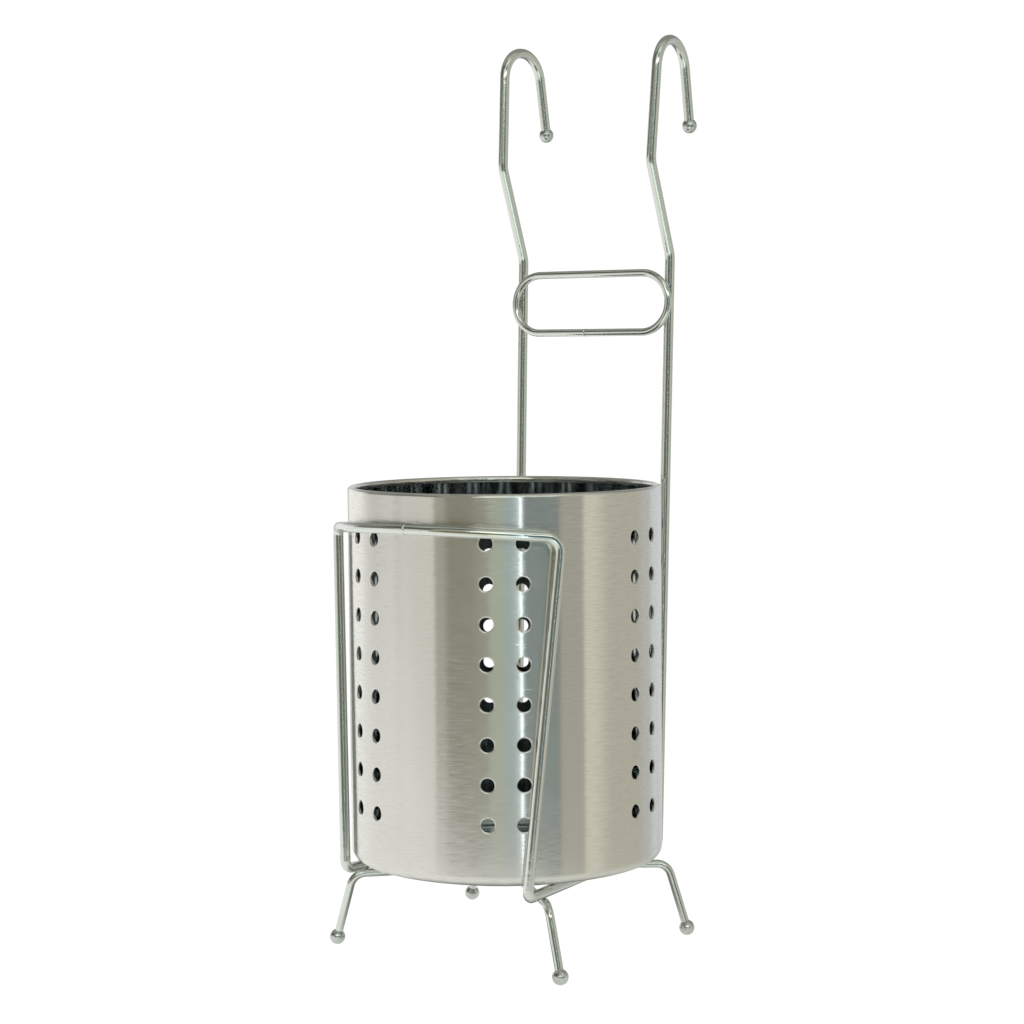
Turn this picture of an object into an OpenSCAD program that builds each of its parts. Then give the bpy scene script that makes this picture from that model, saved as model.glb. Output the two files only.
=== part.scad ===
// Cutlery holder: a perforated steel canister that stands in a rack of bent wire with two hooks.
// Millimetres. X is the width, +Y is the back and +Z is up.
// The origin is on the canister's axis, in the plane that the foot balls stand on.

/* [Canister] */
// Outside diameter of the canister
can_d = 120; // [100:1:140]
// Height of the canister, from the foot of its base to the top of its rim
can_h = 144.3; // [125:0.1:170]
// Thickness of the canister's sheet
sheet_t = 0.8; // [0.5:0.1:1.2]
// Diameter of the curled rim
rim_d = 2.6; // [2:0.1:4]
// Outside radius of the bottom corner
corner_r = 4; // [2.5:0.5:8]
// Depth of the raised foot that is pressed into the base
foot_depth = 1.4; // [1:0.1:3]
// Width of the flat border round the pressed foot
foot_border = 8; // [4:0.5:16]
// Corner radius of the pressed foot
foot_corner_r = 1.2; // [1:0.1:1.3]
// Height of the base's side above the foot, up to the seam with the wall
skirt_h = 12; // [10:0.5:16]
// How far the canister is turned in the rack, in degrees
can_turn = 34.3; // [0:0.1:60]

/* [Perforation] */
// Diameter of a hole
hole_d = 5.2; // [3:0.1:7]
// Distance between the two columns of a group, measured round the wall
column_pitch = 13.5; // [10:0.5:18]
// Groups of holes round the canister
hole_groups = 6; // [3:1:7]
// Rows of holes
hole_rows = 8; // [4:1:10]
// Height of the lowest row above the foot of the base
low_row_h = 24.3; // [20:0.1:30]
// Distance from the highest row down from the top of the rim
high_row_drop = 17.7; // [12:0.1:25]

/* [Wire] */
// Diameter of the side wires
wire_d = 4; // [3.4:0.1:5]
// Diameter of the foot wires
foot_wire_d = 3.2; // [2.6:0.1:4]
// Diameter of the brace ring's wire
ring_wire_d = 3; // [2.4:0.1:4]
// Depth that crossing wires sink into each other at a weld
weld_sink = 0.3; // [0.2:0.05:0.5]
// Height of the upset ridge at a butt weld
ridge_h = 0.25; // [0.1:0.05:0.5]
// Width of the upset ridge at a butt weld
ridge_w = 0.9; // [0.5:0.1:2]

/* [Feet] */
// Height of the straight foot wires' underside above the table
clearance_h = 26.5; // [20:0.5:40]
// Diameter of a foot ball
foot_ball_d = 6; // [5:0.1:9]
// Bend radius of a foot wire, to the middle of the wire
foot_bend_r = 6; // [4:0.5:10]
// How far a foot wire's bend stands outside the front corner of the side wire
foot_out = 3.5; // [2:0.05:8]
// How far the front bend lies behind the side wire's front corner
foot_front_in = 8.3; // [5:0.1:14]
// How far the back bend lies in front of the side wire's back corner
foot_back_in = 11.8; // [6:0.1:18]
// Sideways splay of a leg, in degrees
splay_side = 14.7; // [5:0.1:25]
// Splay of a front leg towards the front, in degrees
splay_front = 5.2; // [0:0.1:15]
// Splay of a back leg towards the back, in degrees
splay_back = 8.2; // [0:0.1:15]
// Turn of the upper foot wire about its middle, clockwise from above, in degrees
upper_foot_turn = 2.8; // [0:0.1:4]
// Radius of the slight bow where the two foot wires cross
bow_r = 150; // [80:5:300]

/* [Rack] */
// Gap between the canister's base and the wires it stands on
seat_gap = 0.2; // [0.1:0.05:0.5]
// Gap between the canister and the front bar
bar_gap = 1.4; // [1:0.1:3]
// Gap between the canister and the lower end of a front leg
leg_gap = 0.8; // [0.6:0.05:3]
// Gap between the lifted canister and the brace ring
ring_gap = 0.4; // [0.3:0.05:2]
// Gap between the lifted canister and a hook's shank
shank_gap = 0.45; // [0.3:0.05:2]
// Height of the canister's rim above the middle of the front bar
bar_drop = 12.9; // [8:0.1:20]
// Tilt of the front bar's plane, in degrees
bar_tilt = 6.4; // [0:0.1:10]
// Angle round the canister from the middle of the front bar to its bent end, in degrees
bar_half_angle = 46.2; // [42:0.1:52]
// Straight end of the front bar before its corner
bar_end = 7.6; // [6.8:0.1:12]
// Bend radius of the front bar's right corner, to the middle of the wire
right_bar_bend_r = 5.6; // [2.6:0.1:6.4]
// Bend radius of the front bar's left corner, to the middle of the wire
left_bar_bend_r = 3.4; // [2.6:0.1:6.4]
// Angle round the canister from the front to the lower end of the right front leg, in degrees
right_leg_angle = 41.05; // [36:0.05:46]
// The same for the left front leg
left_leg_angle = 46; // [36:0.05:47]
// Bend radius at the bottom corners, to the middle of the wire
bottom_bend_r = 3.2; // [2.6:0.1:8]
// Distance between the two uprights at their upper ends
upright_pitch = 69.8; // [60:0.1:80]
// How much nearer the middle each upright is at its foot
upright_taper = 0.9; // [0:0.1:3]
// Backward lean of the uprights, in degrees
upright_lean = 2.29; // [0:0.01:4]

/* [Brace ring] */
// Height of the ring's middle above the canister's rim
ring_rise = 69.8; // [60:0.1:90]
// How far each end of the ring reaches past the middle of its upright
ring_over = 2.8; // [2:0.1:3.4]
// Height of the ring over its outside
ring_h = 26.5; // [22:0.1:30]
// How far the ring's butt weld lies left of its middle
ring_weld_x = 2; // [0:0.5:10]

/* [Hooks] */
// Height from the ring's middle to the start of the forward joggle
joggle_rise = 18.4; // [16:0.1:30]
// Height of the forward joggle
joggle_h = 36.5; // [30:0.1:50]
// Bend radius at both ends of the joggle, to the middle of the wire
joggle_bend_r = 10; // [6:0.5:14]
// Height from the joggle to the middle of the wire at the hook's top
shank_h = 47.8; // [42:0.1:70]
// Backward lean of a hook's shank, in degrees
shank_lean = 4.86; // [0:0.01:8]
// Outward lean of a hook's shank, in degrees
shank_spread = 1.45; // [0:0.01:3]
// Inside radius of a hook
hook_inner_r = 10.3; // [9:0.1:12]
// Height from the middle of the wire at the hook's top down to the middle of the hook ball
hook_drop = 32.2; // [28:0.1:40]
// Outward lean of the hook's free end, in degrees
hook_flare = 10.4; // [0:0.1:15]
// Inward turn of the right hook about its shank, in degrees
right_hook_toe = 4.5; // [0:0.1:6]
// Inward turn of the left hook about its shank, in degrees
left_hook_toe = 2.8; // [0:0.1:6]
// Diameter of a hook ball
hook_ball_d = 6; // [5.6:0.1:9]

/* [Hidden] */
$fn = 64;

// Overrun of a cut past the face that it opens
cut_over = 1;
// How much thicker a bend is than the straights that end inside it, and how far they run in
bend_swell = 0.02;
joint_over = 0.1;
// Shortest straight between two bends
least_straight = 0.4;

// Heights of the rack's lower wires and of the canister on them
foot_wire_z = clearance_h + foot_wire_d / 2;
run_z = foot_wire_z + (foot_wire_d + wire_d) / 2 - weld_sink;
can_z = run_z + wire_d / 2 + seat_gap;
rim_z = can_z + can_h;
can_r = can_d / 2;

// Front bar: an arc in a plane that tilts up towards the front
bar_r = can_r + bar_gap + wire_d / 2;
bar_centre_z = rim_z - bar_drop - bar_r * sin(bar_tilt);
function in_bar_plane(p) = [p.x, p.y * cos(bar_tilt), -p.y * sin(bar_tilt)];
bar_end_at = [0, 0, bar_centre_z]
    + in_bar_plane([bar_r * sin(bar_half_angle), -bar_r * cos(bar_half_angle)]);
bar_end_way = in_bar_plane([cos(bar_half_angle), sin(bar_half_angle)]);
bar_corner = bar_end_at + bar_end * bar_end_way;

// Side wire: the corners of its path, from the front bar down, back and up
leg_r = can_r + leg_gap + wire_d / 2;
function front_corner(leg_angle) = [leg_r * sin(leg_angle), -leg_r * cos(leg_angle), run_z];
ring_z = rim_z + ring_rise;
ring_half_h = (ring_h - ring_wire_d) / 2;
ring_end_x = upright_pitch / 2 + ring_over - ring_h / 2;
ring_y = can_r + ring_gap + ring_wire_d / 2 + ring_half_h * tan(upright_lean);
upright_y = ring_y + (ring_wire_d + wire_d) / 2 - weld_sink;
upright_x = upright_pitch / 2;
joggle_z = ring_z + joggle_rise;
shank_z = joggle_z + joggle_h;
shank_clear = can_r + shank_gap + wire_d / 2;
back_corner = [
    upright_x - upright_taper,
    upright_y - (ring_z - run_z) * tan(upright_lean),
    run_z
];
joggle_low = [upright_x, upright_y + joggle_rise * tan(upright_lean), joggle_z];
joggle_high = [upright_x, sqrt(shank_clear * shank_clear - upright_x * upright_x), shank_z];

// Hook: two bends of one radius that meet at its top, then a free end with a ball
hook_r = hook_inner_r + wire_d / 2;
hook_span = hook_r * (tan((90 - shank_lean) / 2) + tan((90 - hook_flare) / 2)) + least_straight;
hook_front = joggle_high + [shank_h * tan(shank_spread), shank_h * tan(shank_lean), shank_h];
function hook_way(toe) = [-sin(toe), cos(toe), 0];
function hook_back(toe) = hook_front + hook_span * hook_way(toe);
function hook_tip(toe) = hook_back(toe) + hook_drop * (tan(hook_flare) * hook_way(toe) - [0, 0, 1]);

function side_path(leg_angle, toe) = [
    bar_end_at - joint_over * bar_end_way, bar_corner, front_corner(leg_angle), back_corner,
    joggle_low, joggle_high, hook_front, hook_back(toe), hook_tip(toe)
];
function side_bends(bar_bend_r) = [
    0, bar_bend_r, bottom_bend_r, bottom_bend_r,
    joggle_bend_r, joggle_bend_r, hook_r, hook_r, 0
];

// Foot wires: bends at the ends of the straight part, and ball centres below them
foot_x = front_corner(right_leg_angle).x + foot_out;
foot_front_y = front_corner(right_leg_angle).y + foot_front_in;
foot_back_y = back_corner.y - foot_back_in;
foot_middle_y = (foot_front_y + foot_back_y) / 2;
leg_h = foot_wire_z - foot_ball_d / 2;
foot_bend_front = [foot_x, foot_front_y, foot_wire_z];
foot_bend_back = [foot_x, foot_back_y, foot_wire_z];
foot_front = foot_bend_front + leg_h * [tan(splay_side), -tan(splay_front), -1];
foot_back = foot_bend_back + leg_h * [tan(splay_side), tan(splay_back), -1];
cross_offset = (foot_wire_d - weld_sink) / 2;

// Perforation: places follow from the height, the rows and the pitch
row_pitch = (can_h - low_row_h - high_row_drop) / (hole_rows - 1);
column_angle = column_pitch / can_r * 180 / PI;

function mirrored(p) = [-p.x, p.y, p.z];
// A point of the upper foot wire, turned about the middle of the wire
function turned(p) = [
    p.x * cos(upper_foot_turn) + (p.y - foot_middle_y) * sin(upper_foot_turn),
    foot_middle_y + (p.y - foot_middle_y) * cos(upper_foot_turn) - p.x * sin(upper_foot_turn),
    p.z
];
function way(a, b) = (b - a) / norm(b - a);
function turn_at(path, i) = acos(way(path[i - 1], path[i]) * way(path[i], path[i + 1]));
function trim_at(path, bends, i) =
    i == 0 || i == len(path) - 1 ? 0 : bends[i] * tan(turn_at(path, i) / 2) - joint_over;

// A straight round rod between two points
module rod(a, b, d) {
    v = b - a;
    translate(a)
        rotate([0, acos(v.z / norm(v)), atan2(v.y, v.x)])
            cylinder(d = d, h = norm(v));
}

// A round bend at corner i of a path
module bend(path, i, r, d) {
    u = way(path[i - 1], path[i]);
    w = way(path[i], path[i + 1]);
    n = (w - (u * w) * u) / norm(w - (u * w) * u);
    z = cross(u, n);
    o = path[i] - r * tan(turn_at(path, i) / 2) * u + r * n;
    multmatrix([
        [-n.x, u.x, z.x, o.x],
        [-n.y, u.y, z.y, o.y],
        [-n.z, u.z, z.z, o.z],
        [0, 0, 0, 1]
    ])
        rotate_extrude(angle = turn_at(path, i))
            translate([r, 0])
                circle(d = d);
}

// A bent wire along a path, with one bend radius for each corner
module wire(path, bends, d) {
    for (i = [1 : len(path) - 2])
        bend(path, i, bends[i], d + bend_swell);
    for (i = [0 : len(path) - 2]) {
        u = way(path[i], path[i + 1]);
        rod(path[i] + trim_at(path, bends, i) * u, path[i + 1] - trim_at(path, bends, i + 1) * u, d);
    }
}

// A ball with a blind socket for the end of a wire that comes from a given point
module ball(at, from, d, socket_d) {
    difference() {
        translate(at)
            sphere(d = d);
        rod(at, at + d * way(at, from), socket_d);
    }
}

// The section of a cup, from its axis outwards, with a round bottom corner
module cup_section(r, z, top, corner) {
    translate([0, z])
        square([r - corner, top - z]);
    translate([0, z + corner])
        square([r, top - z - corner]);
    translate([r - corner, z + corner])
        circle(r = corner);
}

// Wall of the canister: a perforated tube with its rim curled inwards
module canister_wall() {
    color("silver")
        translate([0, 0, can_z])
            difference() {
                rotate_extrude() {
                    translate([can_r - sheet_t, skirt_h])
                        square([sheet_t, can_h - skirt_h - rim_d / 2]);
                    translate([can_r - rim_d / 2, can_h - rim_d / 2])
                        circle(d = rim_d);
                }
                for (group = [0 : hole_groups - 1], side = [-1, 1], row = [0 : hole_rows - 1])
                    rotate([0, 0, can_turn + group * 360 / hole_groups + side * column_angle / 2])
                        translate([0, -can_r + sheet_t + cut_over, low_row_h + row * row_pitch])
                            rotate([90, 0, 0])
                                cylinder(d = hole_d, h = sheet_t + 2 * cut_over);
            }
}

// Base of the canister: a pressed cup with a raised foot, joined edge to edge with the wall
module canister_base() {
    foot_r = can_r - foot_border;
    color("silver")
        translate([0, 0, can_z])
            rotate_extrude()
                difference() {
                    union() {
                        cup_section(can_r, foot_depth, skirt_h, corner_r);
                        cup_section(foot_r, 0, skirt_h, foot_corner_r);
                    }
                    cup_section(can_r - sheet_t, foot_depth + sheet_t, skirt_h + cut_over,
                        corner_r - sheet_t);
                    cup_section(foot_r - sheet_t, sheet_t, skirt_h + cut_over,
                        foot_corner_r - sheet_t);
                }
}

// Side wire: half the front bar, a leg, the run under the canister, an upright and a hook
module side_wire(leg_angle, bar_bend_r, toe) {
    color("gainsboro") {
        translate([0, 0, bar_centre_z])
            rotate([-bar_tilt, 0, 0])
                rotate([0, 0, -90])
                    rotate_extrude(angle = bar_half_angle)
                        translate([bar_r, 0])
                            circle(d = wire_d + bend_swell);
        translate([0, -bar_r * cos(bar_tilt), bar_centre_z + bar_r * sin(bar_tilt)])
            rotate([0, 90, 0])
                cylinder(d = wire_d + 2 * ridge_h, h = ridge_w / 2);
        wire(side_path(leg_angle, toe), side_bends(bar_bend_r), wire_d);
    }
}

module right_side_wire() {
    side_wire(right_leg_angle, right_bar_bend_r, right_hook_toe);
}

module left_side_wire() {
    mirror([1, 0, 0])
        side_wire(left_leg_angle, left_bar_bend_r, left_hook_toe);
}

// Brace ring: a long loop welded to the fronts of the uprights, closed by a butt weld below
module brace_ring() {
    color("gainsboro")
        translate([0, ring_y, ring_z])
            rotate([-upright_lean, 0, 0]) {
                for (side = [-1, 1]) {
                    translate([side * ring_end_x, 0, 0])
                        rotate([90, 0, 0])
                            rotate([0, 0, -side * 90])
                                rotate_extrude(angle = 180)
                                    translate([ring_half_h, 0])
                                        circle(d = ring_wire_d);
                    translate([-ring_end_x, 0, side * ring_half_h])
                        rotate([0, 90, 0])
                            cylinder(d = ring_wire_d, h = 2 * ring_end_x);
                }
                translate([-ring_weld_x - ridge_w / 2, 0, -ring_half_h])
                    rotate([0, 90, 0])
                        cylinder(d = ring_wire_d + 2 * ridge_h, h = ridge_w);
            }
}

// Foot wire: two legs and a straight part that bows up or down past the other foot wire
module foot_wire(front, front_bend, back_bend, back, bow) {
    middle = (front_bend + back_bend) / 2 + [0, 0, bow];
    color("gainsboro")
        wire(
            [front, front_bend, middle, back_bend, back],
            [0, foot_bend_r, bow_r, foot_bend_r, 0],
            foot_wire_d
        );
}

module upper_foot_wire() {
    foot_wire(
        turned(mirrored(foot_front)), turned(mirrored(foot_bend_front)),
        turned(foot_bend_back), turned(foot_back), cross_offset
    );
}

module lower_foot_wire() {
    foot_wire(foot_front, foot_bend_front, mirrored(foot_bend_back), mirrored(foot_back),
        -cross_offset);
}

module front_right_foot_ball() {
    color("silver")
        ball(foot_front, foot_bend_front, foot_ball_d, foot_wire_d);
}

module front_left_foot_ball() {
    color("silver")
        ball(turned(mirrored(foot_front)), turned(mirrored(foot_bend_front)), foot_ball_d,
            foot_wire_d);
}

module back_right_foot_ball() {
    color("silver")
        ball(turned(foot_back), turned(foot_bend_back), foot_ball_d, foot_wire_d);
}

module back_left_foot_ball() {
    color("silver")
        ball(mirrored(foot_back), mirrored(foot_bend_back), foot_ball_d, foot_wire_d);
}

module hook_ball(toe) {
    color("silver")
        ball(hook_tip(toe), hook_back(toe), hook_ball_d, wire_d);
}

module right_hook_ball() {
    hook_ball(right_hook_toe);
}

module left_hook_ball() {
    mirror([1, 0, 0])
        hook_ball(left_hook_toe);
}

canister_wall();
canister_base();
right_side_wire();
left_side_wire();
brace_ring();
upper_foot_wire();
lower_foot_wire();
front_right_foot_ball();
front_left_foot_ball();
back_right_foot_ball();
back_left_foot_ball();
right_hook_ball();
left_hook_ball();
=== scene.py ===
"""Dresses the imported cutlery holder: a brushed canister that stands in a rack of polished wire.

Everything is in metres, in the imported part's own frame. The origin is on the canister's axis, in
the plane of the feet. +X is to the right, +Y is the back and +Z is up.
"""

from __future__ import annotations

import logging
import math
from collections.abc import Iterable, Mapping, Sequence
from dataclasses import dataclass, field
from enum import Enum
from typing import Any

import bmesh
import bpy
from bpy.types import Material, Mesh, Node, NodeSocket, NodeTree, Object
from mathutils import Matrix, Vector

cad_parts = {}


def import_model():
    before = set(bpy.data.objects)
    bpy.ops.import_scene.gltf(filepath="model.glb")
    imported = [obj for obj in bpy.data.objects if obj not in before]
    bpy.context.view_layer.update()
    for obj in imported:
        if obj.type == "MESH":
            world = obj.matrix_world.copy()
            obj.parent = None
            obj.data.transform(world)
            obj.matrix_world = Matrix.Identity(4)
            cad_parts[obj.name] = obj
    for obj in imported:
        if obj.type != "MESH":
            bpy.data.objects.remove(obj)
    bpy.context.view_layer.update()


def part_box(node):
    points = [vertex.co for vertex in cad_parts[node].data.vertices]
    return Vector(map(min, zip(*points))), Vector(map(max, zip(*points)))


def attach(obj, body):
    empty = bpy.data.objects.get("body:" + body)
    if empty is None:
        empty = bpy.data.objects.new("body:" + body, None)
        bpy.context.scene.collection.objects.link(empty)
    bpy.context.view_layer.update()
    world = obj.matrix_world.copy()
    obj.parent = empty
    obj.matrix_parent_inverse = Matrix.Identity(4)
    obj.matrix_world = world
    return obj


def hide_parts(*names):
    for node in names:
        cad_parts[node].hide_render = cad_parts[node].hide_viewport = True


LOG = logging.getLogger("cutlery_holder")
UP = Vector((0.0, 0.0, 1.0))

Colour = tuple[float, float, float]
Point = tuple[float, float]
Range = tuple[float, float]
Spot = tuple[float, float, float]
Shape = tuple[list[Spot], list[tuple[int, ...]]]


class Body(str, Enum):
    """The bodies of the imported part."""

    RACK = "rack"
    CANISTER = "canister"


class Slot(str, Enum):
    """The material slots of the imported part's record."""

    SHEET = "canister_steel"
    WIRE = "wire_steel"
    BALL = "ball_steel"


class Net:
    """Adds nodes to a node tree and joins them up."""

    def __init__(self, tree: NodeTree) -> None:
        """Keeps the shader, world or geometry tree to work on."""
        self.tree = tree

    def fill(self, node: Node, values: Mapping[Any, Any]) -> None:
        """Feeds a node's inputs.

        Args:
            node: The node.
            values: Maps an input's name or number to a socket to join or a constant to set.
        """
        for key, value in values.items():
            if isinstance(value, NodeSocket):
                self.tree.links.new(value, node.inputs[key])
            else:
                node.inputs[key].default_value = value

    def node(self, kind: str, values: Mapping[Any, Any] | None = None, **settings: Any) -> Node:
        """Adds a node.

        Args:
            kind: The node's type.
            values: Maps an input's name or number to a socket or a constant.
            **settings: Properties of the node, set before its inputs.

        Returns:
            The new node.
        """
        made = self.tree.nodes.new(kind)
        for key, value in settings.items():
            setattr(made, key, value)
        self.fill(made, values or {})
        return made

    def first(self, kind: str, values: Mapping[Any, Any] | None = None, **settings: Any) -> NodeSocket:
        """Adds a node, as node() does, and gives its first output."""
        return self.node(kind, values, **settings).outputs[0]

    def given(self) -> Mapping[str, NodeSocket]:
        """Gives the sockets of the group's own inputs."""
        return self.node("NodeGroupInput").outputs

    def place(self) -> NodeSocket:
        """Gives the shaded point's place in object coordinates."""
        return self.node("ShaderNodeTexCoord").outputs["Object"]

    def math(self, operation: str, *values: Any) -> NodeSocket:
        """Does a sum with numbers, which are sockets or constants in the operation's order."""
        return self.first("ShaderNodeMath", dict(enumerate(values)), operation=operation)

    def vector(self, operation: str, *values: Any) -> NodeSocket:
        """Does a sum with vectors that gives a vector."""
        return self.first("ShaderNodeVectorMath", dict(enumerate(values)), operation=operation)

    def measure(self, operation: str, *values: Any) -> NodeSocket:
        """Does a sum with vectors that gives a number."""
        made = self.node("ShaderNodeVectorMath", dict(enumerate(values)), operation=operation)
        return made.outputs["Value"]

    def scaled(self, vector: Any, factor: Any) -> NodeSocket:
        """Multiplies a vector by a number."""
        return self.first("ShaderNodeVectorMath", {0: vector, "Scale": factor}, operation="SCALE")

    def combined(self, x: Any = 0.0, y: Any = 0.0, z: Any = 0.0) -> NodeSocket:
        """Makes a vector of three numbers."""
        return self.first("ShaderNodeCombineXYZ", {0: x, 1: y, 2: z})

    def parted(self, vector: Any) -> Sequence[NodeSocket]:
        """Gives the three numbers of a vector."""
        return self.node("ShaderNodeSeparateXYZ", {0: vector}).outputs

    def centred(self, value: Any) -> NodeSocket:
        """Moves a value between 0 and 1 to between -0.5 and 0.5."""
        return self.math("SUBTRACT", value, 0.5)

    def noise(self, place: Any, scale: Any, detail: float, roughness: float = 0.5) -> NodeSocket:
        """Adds a noise between 0 and 1.

        Args:
            place: The vector that it reads.
            scale: How often it changes in a metre.
            detail: How many finer layers it has.
            roughness: How strong the finer layers are.

        Returns:
            The noise's socket.
        """
        values = {"Vector": place, "Scale": scale, "Detail": detail, "Roughness": roughness}
        return self.first("ShaderNodeTexNoise", values)

    def ramp(
        self, value: Any, low: float, high: float, to_low: float = 0.0, to_high: float = 1.0
    ) -> NodeSocket:
        """Maps a value smoothly from one range to another.

        Args:
            value: The value.
            low: The start of its range.
            high: The end of its range.
            to_low: What the start becomes.
            to_high: What the end becomes.

        Returns:
            The mapped value's socket.
        """
        ends = {"From Min": low, "From Max": high, "To Min": to_low, "To Max": to_high}
        return self.first("ShaderNodeMapRange", {"Value": value, **ends}, interpolation_type="SMOOTHSTEP")

    def blend(self, factor: Any, first: Any, second: Any) -> NodeSocket:
        """Mixes two colours.

        Args:
            factor: The share of the second colour.
            first: The first colour.
            second: The second colour.

        Returns:
            The mixed colour's socket.
        """
        # A mix node's colours are its inputs 6 and 7, and the mixed colour is its output 2.
        made = self.node("ShaderNodeMix", {0: factor, 6: first, 7: second}, data_type="RGBA")
        return made.outputs[2]


def new_group(name: str, kind: str, inputs: Mapping[str, tuple[str, Any]], outputs: Mapping[str, str]) -> Net:
    """Makes an empty node group with its sockets.

    Args:
        name: The group's name.
        kind: What it works on, "Shader" or "Geometry".
        inputs: Maps an input's name to its socket's kind and default value.
        outputs: Maps an output's name to its socket's kind.

    Returns:
        The net of the new group.
    """
    tree = bpy.data.node_groups.new(name, kind + "NodeTree")
    for label, (socket_kind, default) in inputs.items():
        socket_type = "NodeSocket" + socket_kind
        socket = tree.interface.new_socket(name=label, in_out="INPUT", socket_type=socket_type)
        if default is not None:
            socket.default_value = default
    for label, socket_kind in outputs.items():
        tree.interface.new_socket(name=label, in_out="OUTPUT", socket_type="NodeSocket" + socket_kind)
    return Net(tree)


def grain_group() -> NodeTree:
    """Makes the brushed grain: long thin strokes that tilt the surface.

    Returns:
        The shader node group.
    """
    inputs = {
        "Stroke Length": ("Float", 0.014),
        "Stroke Width": ("Float", 0.0004),
        "Side Tilt": ("Float", 0.05),
        "Up Tilt": ("Float", 0.1),
        "Sheet Wave": ("Float", 0.02),
    }
    net = new_group("brushed_grain", "Shader", inputs, {"Stroke": "Float", "Normal": "Vector"})
    given, place = net.given(), net.place()
    # The second noise is read far from the first, so that the two don't agree.
    apart = (17.3, 5.1, 40.7)
    waves_a_metre = 55.0
    # A high power leaves most strokes level and turns a few far.
    few_turn = 3.0
    along = net.math("DIVIDE", 1.0, given["Stroke Length"])
    across = net.math("DIVIDE", 1.0, given["Stroke Width"])
    strokes = net.vector("MULTIPLY", place, net.combined(along, along, across))
    stroke = net.noise(strokes, 1.0, 1.0)
    sideways = net.noise(net.vector("ADD", strokes, apart), 1.0, 1.0)
    wave = net.noise(place, waves_a_metre, 1.0)
    normal = net.node("ShaderNodeNewGeometry").outputs["Normal"]
    side = net.vector("NORMALIZE", net.vector("CROSS_PRODUCT", tuple(UP), normal))
    side_turn = net.math("POWER", net.math("MULTIPLY", net.centred(sideways), 2.0), few_turn)
    side_tilt = net.math("MULTIPLY", side_turn, given["Side Tilt"])
    wave_tilt = net.math("MULTIPLY", net.centred(wave), given["Sheet Wave"])
    up_tilt = net.math("MULTIPLY", net.centred(stroke), given["Up Tilt"])
    tilted = net.vector("ADD", normal, net.scaled(side, net.math("ADD", side_tilt, wave_tilt)))
    tilted = net.vector("ADD", tilted, net.scaled(tuple(UP), up_tilt))
    net.node("NodeGroupOutput", {"Stroke": stroke, "Normal": net.vector("NORMALIZE", tilted)})
    return net.tree


def polish_group() -> NodeTree:
    """Makes the uneven polish of wire: a soft orange peel with small pits.

    Returns:
        The shader node group.
    """
    inputs = {
        "Peel Size": ("Float", 0.0022),
        "Pit Size": ("Float", 0.0006),
        "Pit Share": ("Float", 0.3),
    }
    net = new_group("uneven_polish", "Shader", inputs, {"Height": "Float", "Pits": "Float"})
    given, place = net.given(), net.place()
    # A pit begins where its noise is below Pit Share, and is whole below this.
    whole_pit = 0.24
    pit_depth = 0.3
    peel = net.noise(place, net.math("DIVIDE", 1.0, given["Peel Size"]), 2.0)
    pit = net.noise(place, net.math("DIVIDE", 1.0, given["Pit Size"]), 1.0)
    ends = {"From Min": given["Pit Share"], "From Max": whole_pit, "To Max": 1.0}
    pits = net.first("ShaderNodeMapRange", {"Value": pit, **ends})
    height = net.math("SUBTRACT", peel, net.math("MULTIPLY", pits, pit_depth))
    net.node("NodeGroupOutput", {"Height": height, "Pits": pits})
    return net.tree


def smudge_group() -> NodeTree:
    """Makes faint smudges of handling, which dull the gloss in patches.

    Returns:
        The shader node group.
    """
    inputs = {"Patch Size": ("Float", 0.03), "Amount": ("Float", 0.05)}
    net = new_group("handling_smudges", "Shader", inputs, {"Value": "Float"})
    given = net.given()
    clean, smudged = 0.35, 0.7
    patches = net.noise(net.place(), net.math("DIVIDE", 1.0, given["Patch Size"]), 4.0, 0.6)
    value = net.math("MULTIPLY", net.ramp(patches, clean, smudged), given["Amount"])
    net.node("NodeGroupOutput", {"Value": value})
    return net.tree


def dimmed(colour: Colour, strength: float) -> Colour:
    """Multiplies a colour by a number."""
    return tuple(c * strength for c in colour)


def rgba(colour: Colour) -> tuple[float, float, float, float]:
    """Adds a full alpha to a colour."""
    return (*colour, 1.0)


@dataclass(frozen=True, kw_only=True)
class Finish:
    """A metal finish, which its subclasses detail.

    Attributes:
        name: The material's name.
        tone: The metal's colour.
        shade: The metal's colour where it is worn or pitted.
        roughness: The mean roughness.
        smudge: The group of handling smudges.
        smudge_amount: How much smudges add to the roughness.
    """

    name: str
    tone: Colour
    shade: Colour
    roughness: float
    smudge: NodeTree
    smudge_amount: float = 0.04

    def start(self) -> tuple[Net, Node]:
        """Makes an empty metal.

        Returns:
            The material's net and its Principled BSDF.
        """
        material = bpy.data.materials.new(self.name)
        material.use_nodes = True
        shader = material.node_tree.nodes["Principled BSDF"]
        shader.inputs["Metallic"].default_value = 1.0
        return Net(material.node_tree), shader

    def base(self, net: Net, shade_share: Any) -> NodeSocket:
        """Mixes the metal's two colours."""
        return net.blend(shade_share, rgba(self.tone), rgba(self.shade))

    def rough(self, net: Net, extra: Any = 0.0) -> NodeSocket:
        """Adds smudges to the roughness.

        Args:
            net: The material's net.
            extra: Something else that adds to the roughness.

        Returns:
            The roughness's socket.
        """
        smudges = net.first("ShaderNodeGroup", {"Amount": self.smudge_amount}, node_tree=self.smudge)
        return net.math("ADD", net.math("ADD", smudges, self.roughness), extra)


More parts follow.
